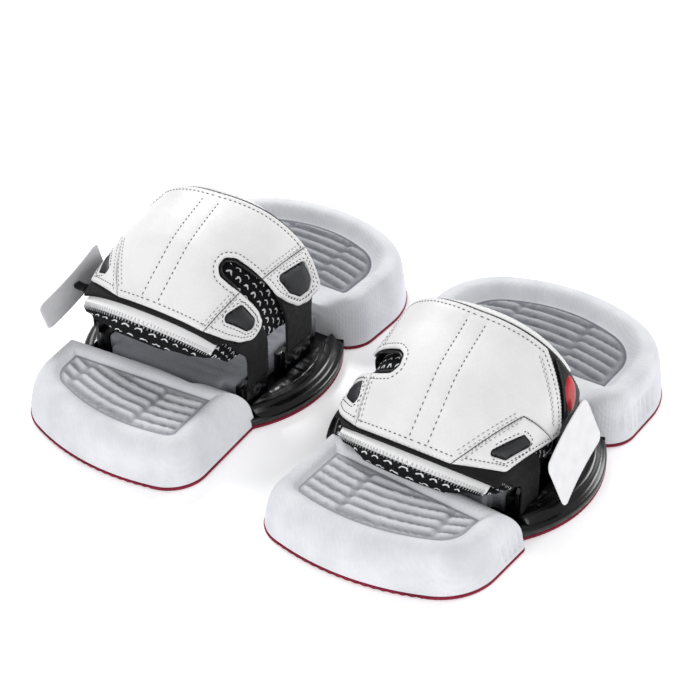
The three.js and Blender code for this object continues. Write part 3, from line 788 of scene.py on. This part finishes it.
def base_disc():
    """The turned base with its stepped edge, cut to two side shoulders, and the four posts for the straps."""
    profile = [(0, FLANGE_BOTTOM), (89.4, FLANGE_BOTTOM), (90, 3.4), (90, 5.9), (89.5, 6.9), (88.3, 7.6),
               (87, 8), (86.2, 8.3), (85.2, 9.2), (84.2, 10.9), (83.2, 12.2), (82, 12.8), (80.6, 13),
               (77.6, 13), (77, 12.5), (75.4, 12.5), (74.8, 13), (0, 13)]
    sides, rings = CIRCLE_SIDES, len(profile) - 2
    points = [(0, 0, profile[0][1]), (0, 0, profile[-1][1])]
    points += [(x, y, z) for r, z in profile[1:-1] for x, y in circle(r)]
    last = 2 + (rings - 1) * sides
    faces = [(0, 2 + (i + 1) % sides, 2 + i) for i in range(sides)] + bands(rings, sides, 2)
    faces += [(1, last + i, last + (i + 1) % sides) for i in range(sides)]
    disc = mesh_object("right_base_disc", row("right", points), faces, "gloss")
    far, channel, half, top = 96, 65.4, 49, 7.8
    post_in, post_out, post_top = 54, 60.3, 24
    square = lambda x0, x1, y0, y1: np.array([(x0, y0), (x1, y0), (x1, y1), (x0, y1)], float)
    carve(disc, prism(square(-far, far, -far, -half), top, 20), prism(square(-far, far, half, far), top, 20),
          prism(square(-channel, channel, -far, far), top, 20),
          prism(slot_outline(-1), 0, 12), prism(slot_outline(1), 0, 12))
    for sign in (-1, 1):
        for v0, v1 in LEGS:
            u0, u1 = sorted((post_in * sign, post_out * sign))
            carve(disc, prism(square(u0, u1, v0, v1), top - 1, post_top), operation="UNION")
    both(soften(disc, 0.35), "base_plate")


# ---- the strap ----
STRAP_HALF, STRAP_LONG, CROWN_AT, CROWN_HIGH, SIDE_ARC, SQUARENESS = 67, 88, 42, 8, 105, 2.3
SIDE_EDGE = (-56, 30)
FITS = {
    "left": {"lift": 0, "lip": 0.36, "top": (50, 104), "spring": (36, 41), "seam": (-68, 11)},
    "right": {"lift": 18, "lip": 0.6, "top": (78, 122), "spring": (52, 56), "seam": (-66, 15)},
}
COVER = ((-66, 8), (-22, 0), (41, 0), (64, 3), (80, 8), (91, 17), (88, 30), (76, 33), (43, 32), (33, 33),
         (28.5, 38), (29.5, 45), (36, 49), (60, 50.5), (80, 51.5), (92, 58), (101, 66), (104, 77), (102, 94),
         (70, 95), (35, 92), (0, 88), (-46, 87.5), (-93, 59), (-98, 54), (-94, 44), (-89, 36))
COVER_RADII = (6, 20, 40, 40, 12, 8, 8, 14, 30, 6, 4, 4, 8, 40, 14, 16, 8, 12, 5, 60, 60, 60, 3, 3, 3, 10, 20)
TABS = {
    "inner_front": ((42, -3), (110, -3), (110, 41), (56, 41)),
    "inner_rear": ((60, 41), (112, 41), (112, 100), (71.5, 100)),
    "outer_front": ((-20.5, -3), (-57, 40.5), (-112, 48.5), (-112, -3)),
}
WINDOWS = {
    "inner_front": ((50, 11), (78, 17), (82, 22), (78, 27), (60, 27)),
    "inner_rear": ((70, 60), (87, 63), (96, 71), (97, 81), (92, 86), (77, 87)),
    "outer_front": ((-43, 12), (-60, 14), (-77, 31), (-65, 32)),
}
BADGE = ((-50, 88.5), (-91, 88), (-95, 78), (-93.5, 62.5))
WEB = ((-68, -3), (60, -3), (70, 2), (70, 30.5), (45, 34.5), (35, 35.5), (31, 38), (31.5, 43), (37, 46.5),
       (55, 48), (72, 52), (72, 96), (35, 94), (0, 90), (-66, 90), (-74, 80), (-74, 6))
WEB_RADII = (4, 10, 4, 4, 20, 6, 3, 3, 6, 20, 4, 3, 60, 60, 4, 8, 8)
LEGS = ((-48, -25), (-4, 26))
COVER_THICK, WEB_DEPTH, FACING_DEPTH, PAD_DEPTH = 1.6, (1.9, 3.7), (4.0, 5.2), (5.5, 14.5)
GROOVE, GROOVE_WIDE = 0.42, 0.9
THREAD, STITCH_PITCH, STITCH_SHARE = 0.31, 3.3, 0.52


def strap(side, a, w, deep):
    """A point of the strap: a across from the middle seam, w back from the front edge, deep inward."""
    fit = FITS[side]
    a, w, deep = np.broadcast_arrays(*(np.asarray(x, float) for x in (a, w, deep)))
    t = w / STRAP_LONG
    s = np.minimum(1, np.abs(a) / SIDE_ARC)
    c = np.maximum(np.cos(s * np.pi / 2), 0) ** (2 / SQUARENESS)
    sn = np.sign(a) * np.sin(s * np.pi / 2) ** (2 / SQUARENESS)
    rise = np.clip(np.minimum(w / CROWN_AT, (STRAP_LONG - w) / (STRAP_LONG - CROWN_AT)), 0, 1)
    bulge = CROWN_HIGH * (0.55 * rise + 0.45 * np.sin(rise * np.pi / 2))
    crown = between(fit["top"], np.minimum(t, 1)) + bulge + np.maximum(0, w - STRAP_LONG) * 0.2
    top = np.where(w < 0, fit["top"][0] + fit["lip"] * w, crown)
    spring, edge, seam = (between(pair, t) for pair in (fit["spring"], SIDE_EDGE, fit["seam"]))
    u = (STRAP_HALF - deep) * sn
    v = edge * (1 - c) + seam * c + 0.5 * deep * c
    z = spring + (top - spring) * c - 0.85 * deep * c - np.maximum(0, np.abs(a) - SIDE_ARC)
    return row(side, np.stack([u, v, z], -1).reshape(-1, 3))


def strap_sheet(side, name, region, outer, inner, look, lay=False):
    return sheet_piece(f"{side}_{name}", region, outer, inner, look,
                       lambda p, d: strap(side, p[:, 0], p[:, 1], d), lay)


def wrinkle(side, points):
    """How far the cover stands proud: slow undulation, and short tension folds toward the tabs."""
    seed = 3.1 if side == "left" else 11.7
    out = []
    for a, w in points:
        slow = noise.noise(Vector((a / 26, w / 20, seed)))
        fold = noise.noise(Vector((a / 9 + w / 22, w / 30, seed + 5)))
        out.append(0.34 + 0.42 * slow + 0.2 * fold)
    return np.clip(np.array(out), 0, 1.1)


def lines_on_cover():
    """Stitch lines in strap coordinates: dark ones, and pale ones at the tabs' roots and by the badge."""
    def closed(corners, radii, inset):
        loop = drawn(corners, radii, inset, step=1.5)
        return np.concatenate([loop, loop[:1]])

    dark = [closed(COVER, COVER_RADII, 3.6)]
    dark += [np.array([(a, 4.5), (a + 0.5, 44), (a, 84)]) for a in (-5.5, 3.5)]
    dark += [closed(corners, 3, -2.6) for corners in WINDOWS.values()]
    pale = []
    for root in (((42, -3), (56, 41)), ((60, 41), (71.5, 100)), ((-57, 40.5), (-20.5, -3))):
        p, q = np.array(root, float)
        along = np.linspace(0.09, 0.91, 12)[:, None]
        for offset in (-2.0, 2.0, 4.4):
            pale.append(p + (q - p) * along + left_of(unit(q - p)[None]) * offset)
    for offset in (0.0, 2.4):
        pale.append(np.array([(-86 + offset, 52), (-60 + offset, 69), (-44 + offset, 81)]))
    return dark, pale


def stitches(side, lines, keep):
    """Short raised threads along lines, in the channels that they pull into the cover."""
    bits = []
    for line in lines:
        steps = np.concatenate([[0], np.cumsum(np.linalg.norm(np.diff(line, axis=0), axis=1))])
        for at in np.arange(0.6, steps[-1] - STITCH_PITCH, STITCH_PITCH):
            spots = at + STITCH_PITCH * STITCH_SHARE * np.array([0, 0.18, 0.5, 0.82, 1])
            path = np.stack([np.interp(spots, steps, line[:, k]) for k in (0, 1)], 1)
            if not keep(path[[0, 2, 4]]).all():
                continue
            proud = wrinkle(side, path[2:3])[0]
            sunk = np.array([0.35, 0.0, -0.1, 0.0, 0.35])
            bits.append(tube(strap(side, path[:, 0], path[:, 1], GROOVE - proud + sunk - 0.12),
                             np.array([0.4, 1, 1, 1, 0.4]) * THREAD * MM, 5))
    return bits


def cover_sheet(side, name, outlines, holes, lines, common=()):
    region = Region(outlines, holes, pitch=2.6, rings=(0.25, 0.7, 1.5), lines=lines, common=common)
    off = from_lines(region.points, lines)
    proud = wrinkle(side, region.points)
    rise = round_edge(region, 0.8)
    curl = COVER_THICK / 2 * (1 - rise)
    outer = curl + (GROOVE * np.exp(-((off / GROOVE_WIDE) ** 2)) - proud) * rise
    inner = COVER_THICK - curl - 0.6 * proud * rise
    return strap_sheet(side, name, region, outer, inner, "leather", lay=True)


def covers(side):
    body = f"{side}_strap"
    dark, pale = lines_on_cover()
    lines = dark + pale
    whole = drawn(COVER, COVER_RADII, 0)
    tabs = {name: drawn(TABS[name], 0.6) for name in FLAPS}
    wide = {name: drawn(TABS[name], 0.6, -0.4) for name in FLAPS}
    turn = {name: 1.6 if name == "outer_front" else 3 for name in FLAPS}
    glass = {name: drawn(WINDOWS[name], turn[name]) for name in FLAPS}
    frames = {name: drawn(WINDOWS[name], turn[name], -0.4) for name in FLAPS}
    inset = drawn(COVER, COVER_RADII, 2.0)

    main = cover_sheet(side, "cover_leather", [whole], list(wide.values()), lines)
    finish_piece(main, body, [f"{side}_strap_cover"])
    seams = [drawn(TABS[name], 0.6, -1.0) for name in FLAPS]

    def on_main(p):
        return inside(inset, p) & ~np.any([inside(seam, p) for seam in seams], 0)

    for shade, some in (("thread", dark), ("pale_thread", pale)):
        sewn = gather(f"{side}_cover_{shade}", stitches(side, some, on_main), shade)
        finish_piece(sewn, body)
    for name in FLAPS:
        flap = f"{side}_{name}_flap"
        tab = cover_sheet(side, f"{name}_tab_leather", [whole], [frames[name]], lines, [tabs[name]])
        finish_piece(tab, flap, [f"{side}_{name}_tab"])
        within = drawn(TABS[name], 0.6, 0.8)

        def on_tab(p):
            return inside(inset, p) & inside(within, p) & ~inside(frames[name], p)

        for shade, some in (("thread", dark), ("pale_thread", pale)):
            sewn = stitches(side, some, on_tab)
            if sewn:
                finish_piece(gather(f"{side}_{name}_tab_{shade}", sewn, shade), flap)
        pane = Region([glass[name]], pitch=1.6)
        dome = 0.55 * step(pane.depth, 0.4, 5)
        dots = 0.12 * np.cos(pane.points * 2.6).prod(1) * step(pane.depth, 2.2, 3)
        rise = round_edge(pane, 0.8)
        piece = strap_sheet(side, f"{name}_window_rubber", pane, 0.8 * (1 - rise) - dome - dots + 0.25,
                            COVER_THICK - 0.55 * (1 - rise), "window")
        finish_piece(piece, flap, [f"{side}_{name}_window"])


def badge(side):
    corners = drawn(BADGE, [2, 10, 12, 2])
    flat = Region([corners], pitch=1.6)
    rise = round_edge(flat, 0.8)
    outer = 0.8 * (1 - rise) - 0.1 * rise - 0.35 * np.exp(-(((flat.depth - 2.4) / 0.6) ** 2))
    piece = strap_sheet(side, "badge_rubber", flat, outer, COVER_THICK - 0.8 * (1 - rise), "badge")
    finish_piece(piece, f"{side}_strap", [f"{side}_outer_badge"])
    angle, tilt = np.linspace(0, 2 * np.pi, 56, endpoint=False), 0.54
    turn = np.array([[math.cos(tilt), math.sin(tilt)], [-math.sin(tilt), math.cos(tilt)]])
    across = 5.9 * np.sign(np.sin(angle)) * np.abs(np.sin(angle)) ** 1.35
    ring = np.stack([13.0 * np.cos(angle), across], 1) @ turn + np.array((-81, 78.5))
    lens = Region([ring], pitch=1.3)
    rise = round_edge(lens, 3.4)
    dome = strap_sheet(side, "badge_lens", lens, -0.75 * rise, 0.02 + 0.1 * rise, "lens")
    finish_piece(dome, f"{side}_strap")


def leg_outline(side, sign, front):
    fit = FITS[side]
    bottom = PAD_BOTTOM + 0.9 + fit["lift"]
    near, far = SIDE_EDGE
    w0, w1 = (STRAP_LONG * (v - near) / (far - near) for v in LEGS[0 if front else 1])

    def at(w, z):
        return SIDE_ARC + between(fit["spring"], w / STRAP_LONG) - z, w

    wide = (2, 31) if front else (52, 88)
    shape = [(40, wide[0]), (86, wide[0]), at(w0, bottom + 20), at(w0, bottom), at(w1, bottom),
             at(w1, bottom + 22), (92, wide[1]), (40, wide[1])]
    radii = [2, 20, 20, 2, 2, 20, 20, 2]
    if sign < 0:
        shape, radii = [(-a, w) for a, w in shape][::-1], radii[::-1]
    return rounded(shape, radii)


def webbing(side):
    outlines = [drawn(WEB, WEB_RADII)]
    outlines += [leg_outline(side, sign, front) for sign in (-1, 1) for front in (True, False)]
    flat = Region(outlines, pitch=3)
    rise = round_edge(flat, 0.9)
    d0, d1 = WEB_DEPTH
    middle, half = (d0 + d1) / 2, (d1 - d0) / 2
    proud = 0.5 * wrinkle(side, flat.points)
    outer, inner = middle - half * rise - proud * 0.3, middle + half * rise
    piece = strap_sheet(side, "strap_web", flat, outer, inner, "webbing", lay=True)
    finish_piece(piece, f"{side}_strap", [f"{side}_strap_webbing"])


def piping(side):
    """A smooth bead along the webbing's edge inside the slot."""
    loop = drawn(WEB, WEB_RADII, 0.6, step=1.5)
    near = loop[(loop[:, 0] > 28) & (loop[:, 0] < 69) & (loop[:, 1] > 31) & (loop[:, 1] < 52)]
    near = near[np.argsort(np.arctan2(near[:, 1] - 41, near[:, 0] - 62) % (2 * np.pi))]
    path = strap(side, near[:, 0], near[:, 1], WEB_DEPTH[0] + 0.1)
    bead = gather(f"{side}_slot_piping", [tube(path, 0.9 * MM, 8)], "piping")
    finish_piece(bead, f"{side}_strap")


def facings(side):
    for name, w0, w1, reach, zigzag in (("front", -10.5, 5, 63, True), ("rear", 82, 95, 73.5, False)):
        edge = [(a, w0 + 3 * (a / SIDE_ARC) ** 2) for a in np.linspace(-reach, reach, 40)]
        edge += [(a, w1 - 3 * (a / SIDE_ARC) ** 2) for a in np.linspace(reach, -reach, 40)]
        flat = Region([np.array(edge)])
        rise = round_edge(flat, 0.6)
        d0, d1 = FACING_DEPTH
        middle, half = (d0 + d1) / 2 + 0.25, (d1 - d0) / 2
        outer, inner = middle - half * rise, middle + half * rise
        piece = strap_sheet(side, f"{name}_facing_tape", flat, outer, inner, "facing", lay=True)
        finish_piece(piece, f"{side}_strap", [f"{side}_{name}_facing"])
        if zigzag:
            a = np.arange(-reach + 2, reach - 2, 1.25)
            swing = np.where(np.arange(len(a)) % 2 == 0, -1.5, 2.4)
            path = strap(side, a, w0 + 3 * (a / SIDE_ARC) ** 2 + swing, np.where(swing < 0, d0 + 1.3, d0))
            thread = gather(f"{side}_overlock", [tube(path, 0.42 * MM, 5)], "white_thread")
            finish_piece(thread, f"{side}_strap")


# ---- the padded lining ----
PRESSURE, CLOTH_FRAMES = 4, 20
HELD, FREE = 0.3, 2.2


def lining_points(side, a, shrink, bottom_arc):
    near = min(1, abs(a) / 94.5) ** 2
    d0 = PAD_DEPTH[0] + 1.2 * near + shrink
    d1 = PAD_DEPTH[1] + 1.2 * near - shrink
    w0, w1 = -22 + 14 * near + shrink, STRAP_LONG + 10 - 4 * near - shrink
    middle = (d0 + d1) / 2
    along = [0, 20, CROWN_AT, 66, STRAP_LONG]
    section = [(w0 + 4, d0), *((w, d0) for w in along), (w1 - 3, d0), (w1, middle),
               (w1 - 4, d1), *((w, d1) for w in along[::-1]), (w0 + 5, d1), (w0, middle)]
    fit = FITS[side]
    out = []
    for w, d in section:
        at = a
        if bottom_arc:
            bottom = fit["lift"] + 34 - 7 * min(1, max(0, w - 14) / 12)
            at = math.copysign(SIDE_ARC + between(fit["spring"], w / STRAP_LONG) - bottom - shrink, a)
        out.append(strap(side, at, w, d)[0])
    return out


def swell(made, limit):
    """Fills the lining by cloth pressure, then holds each point within its limit of where it was."""
    rest = np.array([v.co for v in made.data.vertices])
    cloth = made.modifiers.new("cloth", "CLOTH")
    cloth.settings.use_pressure = True
    cloth.settings.uniform_pressure_force = PRESSURE
    cloth.settings.effector_weights.gravity = 0
    cloth.settings.quality = 4
    cloth.point_cache.frame_end = CLOTH_FRAMES
    for number in range(1, CLOTH_FRAMES + 1):
        bpy.context.scene.frame_set(number)
    graph = bpy.context.evaluated_depsgraph_get()
    moved = np.array([v.co for v in made.evaluated_get(graph).data.vertices])
    made.modifiers.clear()
    bpy.context.scene.frame_set(1)
    shift = moved - rest
    size = np.linalg.norm(shift, axis=1)
    share = np.minimum(size, limit(rest)) / np.maximum(size, 1e-9)
    made.data.vertices.foreach_set("co", (rest + shift * share[:, None]).ravel())
    made.data.update()


def lining(side):
    stations = np.linspace(-SIDE_ARC, SIDE_ARC, 43)
    rings = [lining_points(side, a, 0.35, i in (0, len(stations) - 1)) for i, a in enumerate(stations)]
    faces = capped(len(rings), len(rings[0]), turn=1)
    made = face_out(mesh_object(f"{side}_lining_pad", [p for ring in rings for p in ring], faces, "mesh"))
    even = made.modifiers.new("even", "REMESH")
    even.mode = "VOXEL"
    even.voxel_size = 3.8 * MM
    bake(made)

    a, w, d = (x.ravel() for x in np.meshgrid(np.arange(-160, 161, 4.0), np.arange(-26, 104, 3.5),
                                              np.arange(5, 17, 1.6), indexing="ij"))
    samples = strap(side, a, w, d)
    tree = KDTree(len(samples))
    for i, p in enumerate(samples):
        tree.insert(p, i)
    tree.balance()

    def limit(points):
        near = np.array([tree.find(p)[1] for p in points])
        covered = (w[near] > -14) & (w[near] < 94) & (d[near] < 10)
        return np.where(covered, HELD, FREE) * MM

    swell(made, limit)
    finer = made.modifiers.new("finer", "SUBSURF")
    finer.levels = finer.render_levels = 1
    bake(made)
    made.data.polygons.foreach_set("use_smooth", [True] * len(made.data.polygons))
    points = np.array([v.co for v in made.data.vertices])
    store_lay(made, lay_of(points, a, w, d, tree))
    finish_piece(made, f"{side}_strap", [f"{side}_strap_lining"])


def lay_of(points, a, w, d, tree):
    """Cloth coordinates: across, and along the outside, round the front lip and back along the inside."""
    out = np.zeros((len(points), 3))
    for i, p in enumerate(points):
        near = tree.find_n(p, 6)
        index = [n[1] for n in near]
        weight = np.array([1 / (n[2] + 1e-4) ** 2 for n in near])
        weight /= weight.sum()
        across, along, deep = (float((x[index] * weight).sum()) for x in (a, w, d))
        if along < -12:
            along -= (deep - PAD_DEPTH[0]) * min(1, (-12 - along) / 8)
        out[i] = (across, along, 0)
    return out


# ---- tag and hardware ----
CARDS = {
    "left": {"v": -6.5, "z": 38.5, "turn": 0.26},
    "right": {"v": -50, "z": 55.5, "turn": 0.45},
}
CARD_LONG, CARD_TALL, CARD_THICK, CARD_LEAN, CARD_OUT = 60, 37, 0.8, 0.31, 76.5
TAPE_STEPS, TAPE_SAG = 12, 0.5


def tag(side):
    place = CARDS[side]
    x1, y1 = CARD_LONG / 2, CARD_TALL / 2
    flat = Region([rounded([(-x1, -y1), (x1, -y1), (x1, y1), (-x1, y1)], 6)], pitch=3, rings=(0.3, 1.0))
    rise = round_edge(flat, 0.4)

    def set_out(points, height):
        x, y = points.T
        height = height + 1.6 * (x / x1) ** 2 + 0.5 * np.sin(y / 9)
        c, s = math.cos(place["turn"]), math.sin(place["turn"])
        x, y = x * c - y * s, x * s + y * c
        out, along, up = -height, x, y
        c, s = math.cos(CARD_LEAN), math.sin(CARD_LEAN)
        out, up = out * c + up * s, -out * s + up * c
        return row(side, np.column_stack([out - CARD_OUT, along + place["v"], up + place["z"]]))

    curl = CARD_THICK / 2 * (1 - rise)
    card = sheet_piece(f"{side}_hang_card", flat, curl, CARD_THICK - curl, "card", set_out)
    finish_piece(card, f"{side}_tag", [f"{side}_tag_card"])

    low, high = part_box(f"{side}_tag_loop")
    points = []
    for t in np.arange(TAPE_STEPS + 1) / TAPE_STEPS:
        x, sag = between((low.x, high.x), t), TAPE_SAG * MM * math.sin(math.pi * t)
        points += [(x, low.y, low.z - sag), (x, high.y, low.z - sag), (x, high.y, high.z - sag),
                   (x, low.y, high.z - sag)]
    tape = face_out(mesh_object(f"{side}_tag_tape", points, capped(TAPE_STEPS + 1, 4), "tape"))
    soften(tape, 0.6)
    finish_piece(tape, f"{side}_strap", [f"{side}_tag_loop"])


def hardware():
    for name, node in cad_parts.items():
        look = "steel" if name.endswith("screw") else "gloss" if name.endswith("anchor") else None
        if look:
            node.data.materials.clear()
            node.data.materials.append(LOOKS[look])


set_stage()
pads_and_base()
base_disc()
for each in SIDES:
    covers(each)
    badge(each)
    webbing(each)
    piping(each)
    facings(each)
    lining(each)
    tag(each)
hardware()
